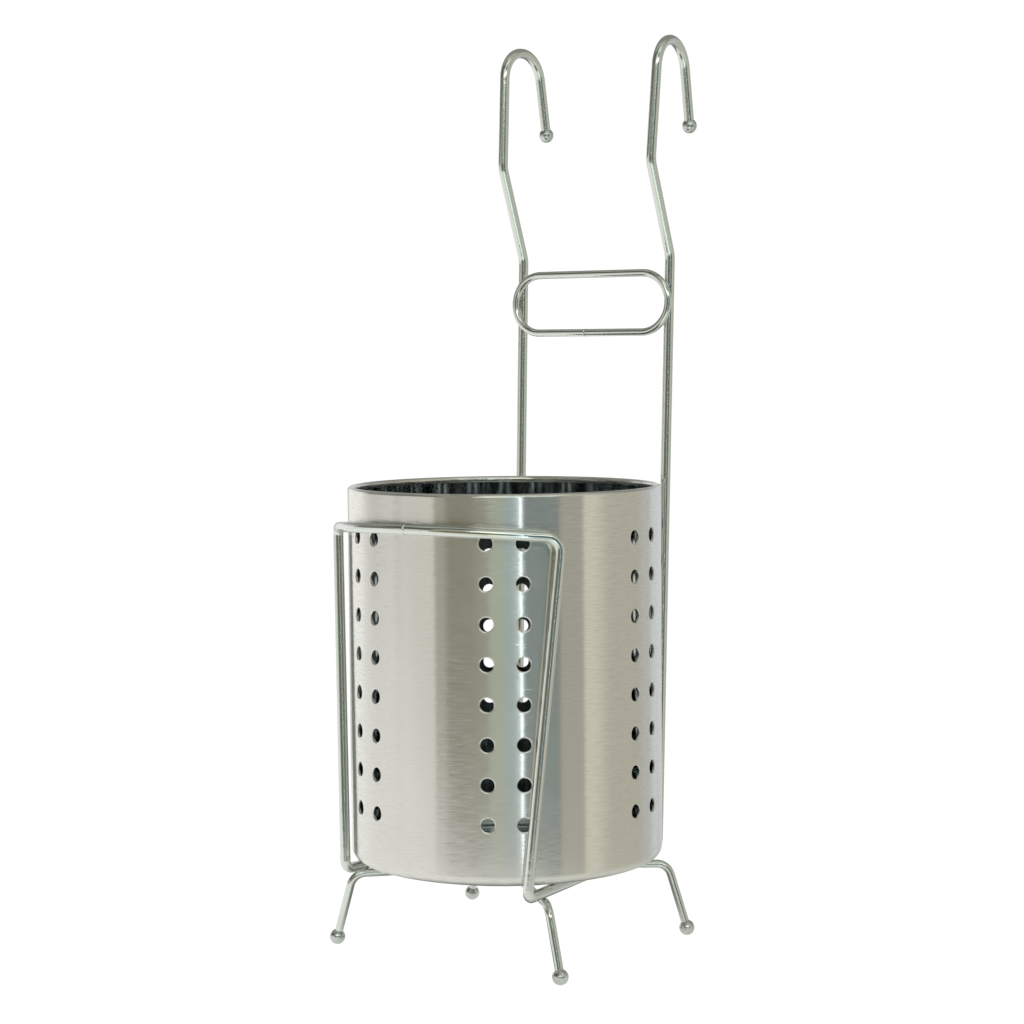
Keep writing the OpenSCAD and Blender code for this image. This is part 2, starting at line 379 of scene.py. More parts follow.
@dataclass(frozen=True, kw_only=True)
class BrushedSheet(Finish):
    """Stainless sheet that is brushed round the canister.

    Attributes:
        grain: The group of brush strokes.
        stretch: How far a highlight is drawn out across the strokes.
        side_tilt: How far a stroke turns the surface sideways.
        up_tilt: How far a stroke turns the surface up or down.
        wave: How far the sheet is out of round.
        stroke_length: The length of a stroke.
        stroke_width: The width of a stroke.
        depth: How much darker a deep stroke is.
        shallow_end: The noise value from which a stroke starts to darken.
        deep_end: The lower noise value where it is darkest.
    """

    grain: NodeTree
    stretch: float
    side_tilt: float
    up_tilt: float
    wave: float
    stroke_length: float = 0.014
    stroke_width: float = 0.0004
    depth: float = 0.25
    shallow_end: float = 0.62
    deep_end: float = 0.3

    def build(self) -> Material:
        """Builds the material.

        Returns:
            The material.
        """
        net, shader = self.start()
        sizes = {
            "Stroke Length": self.stroke_length,
            "Stroke Width": self.stroke_width,
            "Side Tilt": self.side_tilt,
            "Up Tilt": self.up_tilt,
            "Sheet Wave": self.wave,
        }
        grain = net.node("ShaderNodeGroup", sizes, node_tree=self.grain).outputs
        deep = net.ramp(grain["Stroke"], self.shallow_end, self.deep_end, 0.0, self.depth)
        dressed = {
            "Base Color": self.base(net, deep),
            "Roughness": self.rough(net),
            "Normal": grain["Normal"],
            "Anisotropic": self.stretch,
            "Tangent": net.combined(z=1.0),
        }
        net.fill(shader, dressed)
        return bpy.data.materials[self.name]


@dataclass(frozen=True, kw_only=True)
class PolishedWire(Finish):
    """Polished steel with a slight orange peel and pits.

    Attributes:
        polish: The group of uneven polish.
        peel_size: The size of the orange peel.
        peel_depth: The depth of the orange peel.
        pit_size: The size of a pit.
        pit_share: How much of the surface is pitted.
        pit_roughness: How much rougher the steel is in a pit.
    """

    polish: NodeTree
    peel_size: float = 0.0022
    peel_depth: float = 0.00004
    pit_size: float = 0.0006
    pit_share: float = 0.3
    pit_roughness: float = 0.2

    def build(self) -> Material:
        """Builds the material.

        Returns:
            The material.
        """
        net, shader = self.start()
        sizes = {"Peel Size": self.peel_size, "Pit Size": self.pit_size, "Pit Share": self.pit_share}
        polish = net.node("ShaderNodeGroup", sizes, node_tree=self.polish).outputs
        pits = polish["Pits"]
        dressed = {
            "Base Color": self.base(net, pits),
            "Roughness": self.rough(net, net.math("MULTIPLY", pits, self.pit_roughness)),
            "Normal": net.first("ShaderNodeBump", {"Height": polish["Height"], "Distance": self.peel_depth}),
        }
        net.fill(shader, dressed)
        return bpy.data.materials[self.name]


@dataclass
class Finishes:
    """Every finish of the object, built once.

    Attributes:
        sheet: The outside of the canister.
        inside: The inside of the canister.
        wire: The wires of the rack.
        ball: The balls.
    """

    sheet: Material
    inside: Material
    wire: Material
    ball: Material

    @classmethod
    def build(cls) -> Finishes:
        """Builds the shared groups and the materials.

        Returns:
            The finishes.
        """
        grain, polish, smudge = grain_group(), polish_group(), smudge_group()
        sheet = BrushedSheet(
            name="canister_brushed",
            tone=(0.77, 0.76, 0.73),
            shade=(0.52, 0.51, 0.47),
            roughness=0.2,
            smudge=smudge,
            smudge_amount=0.012,
            grain=grain,
            stretch=1.0,
            side_tilt=0.14,
            up_tilt=0.26,
            wave=0.0015,
            depth=0.31,
            stroke_length=0.005,
            stroke_width=0.00034,
        )
        inside = BrushedSheet(
            name="canister_inside",
            tone=(0.6, 0.65, 0.66),
            shade=(0.5, 0.51, 0.5),
            roughness=0.06,
            smudge=smudge,
            smudge_amount=0.03,
            grain=grain,
            stretch=0.6,
            side_tilt=0.01,
            up_tilt=0.01,
            wave=0.004,
        )
        wire = PolishedWire(
            name="wire_polished",
            tone=(0.70, 0.73, 0.70),
            shade=(0.35, 0.34, 0.31),
            roughness=0.1,
            smudge=smudge,
            polish=polish,
        )
        ball = PolishedWire(
            name="ball_polished",
            tone=(0.6, 0.62, 0.61),
            shade=(0.3, 0.29, 0.27),
            roughness=0.11,
            smudge=smudge,
            polish=polish,
            peel_size=0.0012,
            peel_depth=0.00014,
            pit_share=0.36,
        )
        return cls(sheet.build(), inside.build(), wire.build(), ball.build())


def new_object(name: str, mesh: Mesh) -> Object:
    """Puts a mesh in the scene as an object at the origin.

    Args:
        name: The object's name.
        mesh: The mesh.

    Returns:
        The new object.
    """
    made = bpy.data.objects.new(name, mesh)
    bpy.context.scene.collection.objects.link(made)
    return made


def mesh_object(name: str, points: Iterable[Sequence[float]], faces: Iterable[Sequence[int]]) -> Object:
    """Makes an object from points and faces.

    Args:
        name: The object's name.
        points: The points.
        faces: The faces, as numbers of points.

    Returns:
        The new object, at the origin.
    """
    mesh = bpy.data.meshes.new(name)
    mesh.from_pydata([tuple(p) for p in points], [], [tuple(f) for f in faces])
    mesh.update()
    return new_object(name, mesh)


def joined(parts: Iterable[Shape]) -> Shape:
    """Puts several shapes into one.

    Args:
        parts: The shapes, as points and faces.

    Returns:
        All the points, and the faces with their numbers moved on.
    """
    points, faces = [], []
    for more, own_faces in parts:
        faces += [tuple(len(points) + i for i in face) for face in own_faces]
        points += more
    return points, faces


def sin(degrees: float) -> float:
    """The sine of an angle in degrees."""
    return math.sin(math.radians(degrees))


def cos(degrees: float) -> float:
    """The cosine of an angle in degrees."""
    return math.cos(math.radians(degrees))


def tan(degrees: float) -> float:
    """The tangent of an angle in degrees."""
    return math.tan(math.radians(degrees))


def arc(centre: Point, radius: float, start: float, end: float, steps: int) -> list[Point]:
    """Works out the points of an arc, both ends included.

    Args:
        centre: The arc's centre.
        radius: Its radius.
        start: Its first angle, in degrees.
        end: Its last angle, in degrees.
        steps: How many parts it has.

    Returns:
        The points.
    """
    angles = [math.radians(start + (end - start) * i / steps) for i in range(steps + 1)]
    return [(centre[0] + radius * math.cos(a), centre[1] + radius * math.sin(a)) for a in angles]


def lathe(name: str, profile: Sequence[Point], segments: int) -> Object:
    """Turns a closed profile round the Z axis. It starts and ends on the axis or meets itself.

    Args:
        name: The object's name.
        profile: Points as radius and height.
        segments: How many parts the turn has.

    Returns:
        The turned object.
    """
    nearly_none = 1e-9
    points: list[Spot] = []
    rings: list[list[int]] = []
    for radius, height in profile:
        on_axis = radius < nearly_none
        first = len(points)
        for i in range(1 if on_axis else segments):
            angle = 2 * math.pi * i / segments
            points.append((radius * math.sin(angle), -radius * math.cos(angle), height))
        rings.append([first + (0 if on_axis else i) for i in range(segments)])
    faces = []
    for lower, upper in zip(rings, rings[1:]):
        for i in range(segments):
            j = (i + 1) % segments
            # A corner that comes twice, on the axis, is named once.
            face = tuple(dict.fromkeys((lower[i], lower[j], upper[j], upper[i])))
            if len(face) > 2:
                faces.append(face)
    return mesh_object(name, points, faces)


def grow(source: Object, tree: NodeTree, values: Mapping[str, Any], name: str) -> Object:
    """Runs a geometry tree on an object and keeps the result as a plain mesh.

    Args:
        source: The object that the tree starts from, which is then removed.
        tree: The geometry tree.
        values: Maps the name of an input of the tree to its value.
        name: The result's name.

    Returns:
        The new object.
    """
    modifier = source.modifiers.new(tree.name, "NODES")
    modifier.node_group = tree
    for socket in tree.interface.items_tree:
        if socket.item_type == "SOCKET" and socket.in_out == "INPUT" and socket.name in values:
            modifier[socket.identifier] = values[socket.name]
    graph = bpy.context.evaluated_depsgraph_get()
    mesh = bpy.data.meshes.new_from_object(source.evaluated_get(graph), depsgraph=graph)
    mesh.name = name
    bpy.data.objects.remove(source)
    return new_object(name, mesh)


def merge(made: Object, distance: float = 1e-7) -> None:
    """Merges doubled points and turns every face outwards.

    Args:
        made: The object.
        distance: How near two points are that count as one.
    """
    work = bmesh.new()
    work.from_mesh(made.data)
    bmesh.ops.remove_doubles(work, verts=work.verts, dist=distance)
    bmesh.ops.recalc_face_normals(work, faces=work.faces)
    work.to_mesh(made.data)
    work.free()


def shade_by_angle(made: Object, degrees: float = 40.0) -> None:
    """Shades an object smooth, with sharp edges where its faces meet at a wide angle."""
    made.data.shade_smooth()
    made.data.set_sharp_from_angle(angle=math.radians(degrees))


def settle(made: Object, body: Body, slot: Slot, node: str) -> None:
    """Puts a finished piece in its node's place and reports it.

    Args:
        made: The piece.
        body: The body that it moves with.
        slot: The record's slot of its finish; it is not used.
        node: The node that it stands for.
    """
    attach(made, body.value)
    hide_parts(node)
    LOG.info("%s: %d faces, on %s", made.name, len(made.data.polygons), body.value)


def sheet_tree() -> NodeTree:
    """Makes the tree that repeats a flat tile of sheet and rolls the whole into a tube.

    Returns:
        The geometry tree.
    """
    inputs = {
        "Geometry": ("Geometry", None),
        "Edge Tile": ("Object", None),
        "Groups": ("Int", 6),
        "Rows": ("Int", 8),
        "Group Pitch": ("Float", 0.0628),
        "Row Pitch": ("Float", 0.0146),
        "Low Row": ("Float", 0.0),
        "Radius": ("Float", 0.06),
        "Turn": ("Float", 0.0),
        "Inside Radius": ("Float", 0.059),
        "Inside Top": ("Float", 0.17),
        "Merge Distance": ("Float", 1e-6),
        "Outside Finish": ("Material", None),
        "Inside Finish": ("Material", None),
    }
    net = new_group("rolled_sheet", "Geometry", inputs, {"Geometry": "Geometry"})
    given = net.given()
    group_step = net.combined(given["Group Pitch"])
    columns = net.first("GeometryNodeMeshLine", {"Count": given["Groups"], "Offset": group_step})
    line = {
        "Count": given["Rows"],
        "Start Location": net.combined(z=given["Low Row"]),
        "Offset": net.combined(z=given["Row Pitch"]),
    }
    rows = net.first("GeometryNodeMeshLine", line)
    lattice = net.first("GeometryNodeInstanceOnPoints", {"Points": columns, "Instance": rows})
    lattice = net.first("GeometryNodeRealizeInstances", {0: lattice})
    edge = net.node("GeometryNodeObjectInfo", {"Object": given["Edge Tile"]}).outputs["Geometry"]
    both = net.node("GeometryNodeJoinGeometry")
    for points, tile in ((lattice, given["Geometry"]), (columns, edge)):
        tiles = net.first("GeometryNodeInstanceOnPoints", {"Points": points, "Instance": tile})
        net.fill(both, {0: tiles})
    flat = net.first("GeometryNodeRealizeInstances", {0: both.outputs[0]})
    along, depth, height = net.parted(net.first("GeometryNodeInputPosition"))
    angle = net.math("ADD", net.math("DIVIDE", along, given["Radius"]), given["Turn"])
    radius = net.math("SUBTRACT", given["Radius"], depth)
    across = net.math("MULTIPLY", radius, net.math("SINE", angle))
    back = net.math("MULTIPLY", net.math("MULTIPLY", radius, net.math("COSINE", angle)), -1.0)
    rolled = net.combined(across, back, height)
    tube = net.first("GeometryNodeSetPosition", {"Geometry": flat, "Position": rolled})
    near = {"Geometry": tube, "Distance": given["Merge Distance"]}
    tube = net.first("GeometryNodeMergeByDistance", near)
    tube = net.first("GeometryNodeSetShadeSmooth", {"Geometry": tube})
    tube = net.first("GeometryNodeRealizeInstances", {0: tube})
    x, y, z = net.parted(net.first("GeometryNodeInputPosition"))
    is_inside = net.math("LESS_THAN", net.measure("LENGTH", net.combined(x, y)), given["Inside Radius"])
    inner = net.math("MULTIPLY", is_inside, net.math("LESS_THAN", z, given["Inside Top"]))
    for faces, finish in ((True, "Outside Finish"), (inner, "Inside Finish")):
        dressed = {"Geometry": tube, "Selection": faces, "Material": given[finish]}
        tube = net.first("GeometryNodeSetMaterial", dressed)
    net.node("NodeGroupOutput", {"Geometry": tube})
    return net.tree


def wire_tree() -> NodeTree:
    """Makes the tree that rounds the corners of a route and draws round wire along it.

    The route's points hold two attributes: bend_r, the radius of the bend there, and swell, the
    wire's thickness there as a share of its diameter.

    Returns:
        The geometry tree.
    """
    inputs = {
        "Geometry": ("Geometry", None),
        "Diameter": ("Float", 0.004),
        "Sides": ("Int", 32),
        "Bend Steps": ("Int", 16),
        "Finish": ("Material", None),
    }
    net = new_group("bent_wire", "Geometry", inputs, {"Geometry": "Geometry"})
    given = net.given()
    bend_r, swell = (
        net.first("GeometryNodeInputNamedAttribute", {"Name": label}, data_type="FLOAT")
        for label in ("bend_r", "swell")
    )
    route = net.first("GeometryNodeMeshToCurve", {"Mesh": given["Geometry"]})
    bends = {"Curve": route, "Count": given["Bend Steps"], "Radius": bend_r}
    route = net.first("GeometryNodeFilletCurve", bends, mode="POLY")
    circle = {"Resolution": given["Sides"], "Radius": net.math("MULTIPLY", given["Diameter"], 0.5)}
    section = net.first("GeometryNodeCurvePrimitiveCircle", circle)
    sweep = {"Curve": route, "Profile Curve": section, "Scale": swell, "Fill Caps": True}
    wire = net.first("GeometryNodeCurveToMesh", sweep)
    wire = net.first("GeometryNodeSetShadeSmooth", {"Geometry": wire})
    wire = net.first("GeometryNodeRealizeInstances", {0: wire})
    wire = net.first("GeometryNodeSetMaterial", {"Geometry": wire, "Material": given["Finish"]})
    net.node("NodeGroupOutput", {"Geometry": wire})
    return net.tree


@dataclass
class Canister:
    """The canister: a rolled, perforated wall with a curled rim, and a pressed base.

    Lengths are in metres and angles in degrees.

    Attributes:
        sheet_t: The sheet's thickness.
        rim_d: The curled rim's diameter.
        corner_r: The outside radius of the bottom corner.
        foot_depth: The depth of the foot that is pressed into the base.
        foot_border: The width of the flat border round that foot.
        foot_corner_r: The foot's corner radius.
        nook_r: The fillet where the foot meets the border.
        turn: How far the canister is turned in the rack.
        hole_d: The holes' diameter.
        column_pitch: The distance between the two columns of a group, round the wall.
        groups: The groups of columns.
        rows: The rows of holes.
        low_row_h: The lowest row's height above the foot.
        high_row_drop: The highest row's distance from the top of the rim.
        roll_w: The width of the rounded slope that the punch leaves at a hole's outer edge.
        roll_d: Its depth.
        roll_profile: Its shape, as shares of its width and depth.
        burr_r: The chamfer at a hole's inner edge.
        cell_steps: The parts of one side of a hole's tile.
        plain_steps: The parts of the plain sheet between two groups, along the wall.
        rim_steps: The parts of the rim's curl.
        corner_steps: The parts of the bottom corner.
        foot_steps: The parts of the foot's corner, outside and inside.
        nook_steps: The parts of the fillet.
        sharp_angle: The angle from which the wall's edges are sharp.
        outer_r: The wall's outside radius, from the frame.
        foot_z: The height of the base's underside.
        seam_z: The height where the wall meets the base.
        rim_z: The height of the rim's top.
    """

    sheet_t: float = 0.0008
    rim_d: float = 0.0026
    corner_r: float = 0.004
    foot_depth: float = 0.0014
    foot_border: float = 0.008
    foot_corner_r: float = 0.0012
    nook_r: float = 0.00015
    turn: float = 34.3
    hole_d: float = 0.0052
    column_pitch: float = 0.0135
    groups: int = 6
    rows: int = 8
    low_row_h: float = 0.0243
    high_row_drop: float = 0.0177
    roll_w: float = 0.00045
    roll_d: float = 0.00024
    roll_profile: Sequence[Point] = ((1.0, 0.0), (0.72, 0.12), (0.36, 0.52), (0.0, 1.0))
    burr_r: float = 0.00005
    cell_steps: int = 10
    plain_steps: int = 24
    rim_steps: int = 20
    corner_steps: int = 12
    foot_steps: tuple[int, int] = (8, 6)
    nook_steps: int = 4
    sharp_angle: float = 50.0
    outer_r: float = field(init=False)
    foot_z: float = field(init=False)
    seam_z: float = field(init=False)
    rim_z: float = field(init=False)

    def __post_init__(self) -> None:
        """Takes the outside radius and the heights from the frame."""
        wall_low, wall_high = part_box("canister_wall")
        base_low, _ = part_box("canister_base")
        self.outer_r = (wall_high.x - wall_low.x) / 2
        self.foot_z = base_low.z
        self.seam_z = wall_low.z
        self.rim_z = wall_high.z

    @property
    def group_pitch(self) -> float:
        """The distance between two groups, round the wall."""
        return 2 * math.pi * self.outer_r / self.groups

    @property
    def row_pitch(self) -> float:
        """The distance between two rows."""
        height = self.rim_z - self.foot_z
        return (height - self.low_row_h - self.high_row_drop) / (self.rows - 1)

    def cell(self, middle: float) -> Shape:
        """Works out one flat tile with a hole in it.

        X runs along the sheet, Y into it and Z up.

        Args:
            middle: The hole's place along the sheet.

        Returns:
            The tile's points and faces.
        """
        half_w, half_h = self.column_pitch / 2, self.row_pitch / 2
        steps = self.cell_steps
        count = 4 * steps
        shares = [2 * i / steps - 1 for i in range(steps)]
        border = [(s * half_w, -half_h) for s in shares]
        border += [(half_w, s * half_h) for s in shares]
        border += [(-s * half_w, half_h) for s in shares]
        border += [(-half_w, -s * half_h) for s in shares]
        lower_left = -135
        angles = [math.radians(lower_left + 360 * i / count) for i in range(count)]
        hole_r = self.hole_d / 2
        rolled = [(hole_r + self.roll_w * out, self.roll_d * into) for out, into in self.roll_profile]
        outer, inner = rolled[0][0], hole_r + self.burr_r
        walls = [*rolled, (hole_r, self.sheet_t - self.burr_r), (inner, self.sheet_t)]
        # Each ring is the hole's radius, a depth, and a share of the way from border to hole.
        rings = [(outer, 0.0, 0.0), (outer, 0.0, 0.5)]
        rings += [(radius, depth, 1.0) for radius, depth in walls]
        rings += [(inner, self.sheet_t, 0.5), (inner, self.sheet_t, 0.0)]
        points = []
        for radius, depth, share in rings:
            for (x, z), a in zip(border, angles):
                near_x, near_z = radius * math.cos(a), radius * math.sin(a)
                far = 1 - share
                points.append((middle + x * far + near_x * share, depth, z * far + near_z * share))
        faces = []
        for first in range(0, count * (len(rings) - 1), count):
            for i in range(count):
                j = (i + 1) % count
                faces.append((first + i, first + j, first + count + j, first + count + i))
        return points, faces

    def columns(self) -> list[float]:
        """Works out the tile's divisions along the sheet.

        Returns:
            The places along the sheet, from the left edge of a group to the next group's.
        """
        pitch = self.column_pitch
        plain = self.group_pitch - 2 * pitch
        holed = [-pitch + pitch * i / self.cell_steps for i in range(2 * self.cell_steps + 1)]
        return holed + [pitch + plain * (i + 1) / self.plain_steps for i in range(self.plain_steps)]

    def ribbon(self, along: Sequence[float], profile: Sequence[Point]) -> Shape:
        """Draws a profile along the sheet.

        Args:
            along: The places along the sheet.
            profile: The profile's points, as depth and height.

        Returns:
            The ribbon's points and faces.
        """
        points = [(x, depth, height) for x in along for depth, height in profile]
        wide = len(profile)
        faces = [
            (i * wide + j, (i + 1) * wide + j, (i + 1) * wide + j + 1, i * wide + j + 1)
            for i in range(len(along) - 1)
            for j in range(wide - 1)
        ]
        return points, faces

    def tile(self) -> Object:
        """Makes one row of one group: two holed cells and the plain sheet after them.

        Returns:
            The flat tile.
        """
        parts = [self.cell(side * self.column_pitch / 2) for side in (-1, 1)]
        along = self.columns()[2 * self.cell_steps:]
        half_h = self.row_pitch / 2
        levels = [half_h * (2 * i / self.cell_steps - 1) for i in range(self.cell_steps + 1)]
        parts.append(self.ribbon(along, [(0.0, z) for z in levels]))
        parts.append(self.ribbon(along, [(self.sheet_t, z) for z in reversed(levels)]))
        return mesh_object("hole_tile", *joined(parts))

    def edge_tile(self) -> Object:
        """Makes one group's strip below the lowest row, and its strip above the highest with the rim.

        Returns:
            The flat tile.
        """
        low = self.foot_z + self.low_row_h - self.row_pitch / 2
        high = self.rim_z - self.high_row_drop + self.row_pitch / 2
        rim_r = self.rim_d / 2
        inner_side = math.degrees(math.acos((self.sheet_t - rim_r) / rim_r))
        curl = arc((rim_r, self.rim_z - rim_r), rim_r, 180, -inner_side, self.rim_steps)
        foot = [(self.sheet_t, low), (self.sheet_t, self.seam_z), (0.0, self.seam_z), (0.0, low)]
        top = [(0.0, high), (0.0, (high + self.rim_z) / 2), *curl, (self.sheet_t, high)]
        return mesh_object("edge_tile", *joined(self.ribbon(self.columns(), p) for p in (foot, top)))

    def true_normals(self, made: Object) -> None:
        """Gives the wall's skins the exact normals of round tubes, so that reflections run true.

        Args:
            made: The wall.
        """
        mesh = made.data
        mesh.set_sharp_from_angle(angle=math.radians(self.sharp_angle))
        corners = [n.vector.copy() for n in mesh.corner_normals]
        near, facing = 1e-6, 0.3
        for face in mesh.polygons:
            for loop in face.loop_indices:
                point = mesh.vertices[mesh.loops[loop].vertex_index].co
                out = Vector((point.x, point.y, 0.0))
                radius = out.length
                out.normalize()
                lean = face.normal.dot(out)
                if abs(radius - self.outer_r) < near and lean > facing:
                    corners[loop] = out
                elif abs(radius - self.outer_r + self.sheet_t) < near and lean < -facing:
                    corners[loop] = -out
        mesh.normals_split_custom_set(corners)

    def build_wall(self, finishes: Finishes) -> Object:
        """Builds the wall.

        Args:
            finishes: The finishes.

        Returns:
            The finished piece.
        """
        # The inside starts within the sheet, where only the holes' walls have faces.
        within = 0.9
        edge = self.edge_tile()
        values = {
            "Edge Tile": edge,
            "Groups": self.groups,
            "Rows": self.rows,
            "Group Pitch": self.group_pitch,
            "Row Pitch": self.row_pitch,
            "Low Row": self.foot_z + self.low_row_h,
            "Radius": self.outer_r,
            "Turn": math.radians(self.turn),
            "Inside Radius": self.outer_r - self.sheet_t * within,
            "Inside Top": self.rim_z - self.rim_d,
            "Outside Finish": finishes.sheet,
            "Inside Finish": finishes.inside,
        }
        made = grow(self.tile(), sheet_tree(), values, "perforated_wall")
        bpy.data.objects.remove(edge)
        self.true_normals(made)
        return made

    def build_base(self, finishes: Finishes) -> Object:
        """Builds the base.

        Args:
            finishes: The finishes.

        Returns:
            The finished piece.
        """
        t, r, z = self.sheet_t, self.outer_r, self.foot_z
        border_z = z + self.foot_depth
        foot_r = r - self.foot_border
        nook, nook_steps = self.nook_r, self.nook_steps
        corner = (r - self.corner_r, border_z + self.corner_r)
        outside = [
            (r, self.seam_z),
            *arc(corner, self.corner_r, 0, -90, self.corner_steps),
            *arc((foot_r + nook, border_z - nook), nook, 90, 180, nook_steps),
            *arc(
                (foot_r - self.foot_corner_r, z + self.foot_corner_r),
                self.foot_corner_r,
                0,
                -90,
                self.foot_steps[0],
            ),
            (0.0, z),
        ]
        floor_r, floor_bend = foot_r - t, self.foot_corner_r - t
        floor_corner = (floor_r - floor_bend, z + t + floor_bend)
        inside = [
            (0.0, z + t),
            *arc(floor_corner, floor_bend, -90, 0, self.foot_steps[1]),
            *arc((floor_r + nook, border_z + t - nook), nook, 180, 90, nook_steps),
            *arc(corner, self.corner_r - t, -90, 0, self.corner_steps),
            (r - t, self.seam_z),
        ]
        segments = self.groups * (2 * self.cell_steps + self.plain_steps)
        made = lathe("pressed_base", [*outside, *inside, outside[0]], segments)
        made.data.materials.append(finishes.sheet)
        made.data.materials.append(finishes.inside)
        inside_start = segments * (len(outside) - 1)
        inside_end = segments * (len(outside) + len(inside) - 1)
        for number, face in enumerate(made.data.polygons):
            face.material_index = 1 if inside_start <= number < inside_end else 0
        merge(made)
        shade_by_angle(made)
        return made

    def build(self, finishes: Finishes) -> None:
        """Builds both pieces of the canister."""
        settle(self.build_wall(finishes), Body.CANISTER, Slot.SHEET, "canister_wall")
        settle(self.build_base(finishes), Body.CANISTER, Slot.SHEET, "canister_base")


@dataclass(frozen=True)
class Corner:
    """One corner of a wire's route.

    Attributes:
        at: Its place.
        bend_r: The radius of the bend there.
        swell: The wire's thickness there, as a share of its diameter.
    """

    at: Vector
    bend_r: float = 0.0
    swell: float = 1.0


@dataclass(frozen=True)
class Wire:
    """A piece of bent round wire.

    Attributes:
        name: The piece's name.
        node: The node that it stands for.
        diameter: The wire's diameter.
        route: The corners of its middle line.
        closed: Whether the wire is a loop.
        sides: The sides of its section.
        bend_steps: The parts of a bend.
    """

    name: str
    node: str
    diameter: float
    route: Sequence[Corner]
    closed: bool = False
    sides: int = 32
    bend_steps: int = 20

    def build(self, tree: NodeTree, finish: Material) -> None:
        """Builds the wire.

        Args:
            tree: The tree that draws wire along a route.
            finish: The wire's finish.
        """
        mesh = bpy.data.meshes.new(self.name + "_route")
        count = len(self.route)
        edges = [(i, (i + 1) % count) for i in range(count if self.closed else count - 1)]
        mesh.from_pydata([c.at for c in self.route], edges, [])
        for label in ("bend_r", "swell"):
            shares = [getattr(c, label) for c in self.route]
            mesh.attributes.new(label, "FLOAT", "POINT").data.foreach_set("value", shares)
        values = {
            "Diameter": self.diameter,
            "Sides": self.sides,
            "Bend Steps": self.bend_steps,
            "Finish": finish,
        }
        made = grow(new_object(mesh.name, mesh), tree, values, self.name)
        settle(made, Body.RACK, Slot.WIRE, self.node)


@dataclass(frozen=True)
class Ball:
    """A ball with a blind socket for the end of a wire.

    Attributes:
        name: The piece's name.
        node: The node that it stands for.
        at: Its middle.
        wire_from: A point on the wire that ends in it.
        diameter: Its diameter.
        wire_d: The wire's diameter.
        play: The gap between the wire and the socket.
        collar_h: The height of the small collar at the socket's mouth.
        collar_w: The width of that collar.
        collar_profile: The collar's rounded lip, as shares of its width and height.
        segments: The parts of its turn.
        shell_steps: The parts of its outline.
    """

    name: str
    node: str
    at: Vector
    wire_from: Vector
    diameter: float
    wire_d: float
    play: float = 0.00002
    collar_h: float = 0.00022
    collar_w: float = 0.00028
    collar_profile: Sequence[Point] = ((0.7, 0.35), (0.3, 0.85), (0.0, 1.0))
    segments: int = 48
    shell_steps: int = 24

    def build(self, finish: Material) -> None:
        """Builds the ball.

        Args:
            finish: The ball's finish.
        """
        r = self.diameter / 2
        socket_r = self.wire_d / 2 + self.play
        collar_r = socket_r + self.collar_w
        collar_z = math.sqrt(r * r - collar_r * collar_r)
        top_angle = math.degrees(math.acos(collar_r / r))
        shell = arc((0.0, 0.0), r, -90, top_angle, self.shell_steps)
        shell[0] = (0.0, -r)
        lip = [
            (socket_r + self.collar_w * out, collar_z + self.collar_h * up)
            for out, up in self.collar_profile
        ]
        made = lathe(self.name, [*shell, *lip, (socket_r, 0.0), (0.0, 0.0)], self.segments)
        turn = (self.wire_from - self.at).to_track_quat("Z", "Y").to_matrix().to_4x4()
        made.data.transform(Matrix.Translation(self.at) @ turn)
        made.data.materials.append(finish)
        merge(made)
        shade_by_angle(made)
        settle(made, Body.RACK, Slot.BALL, self.node)


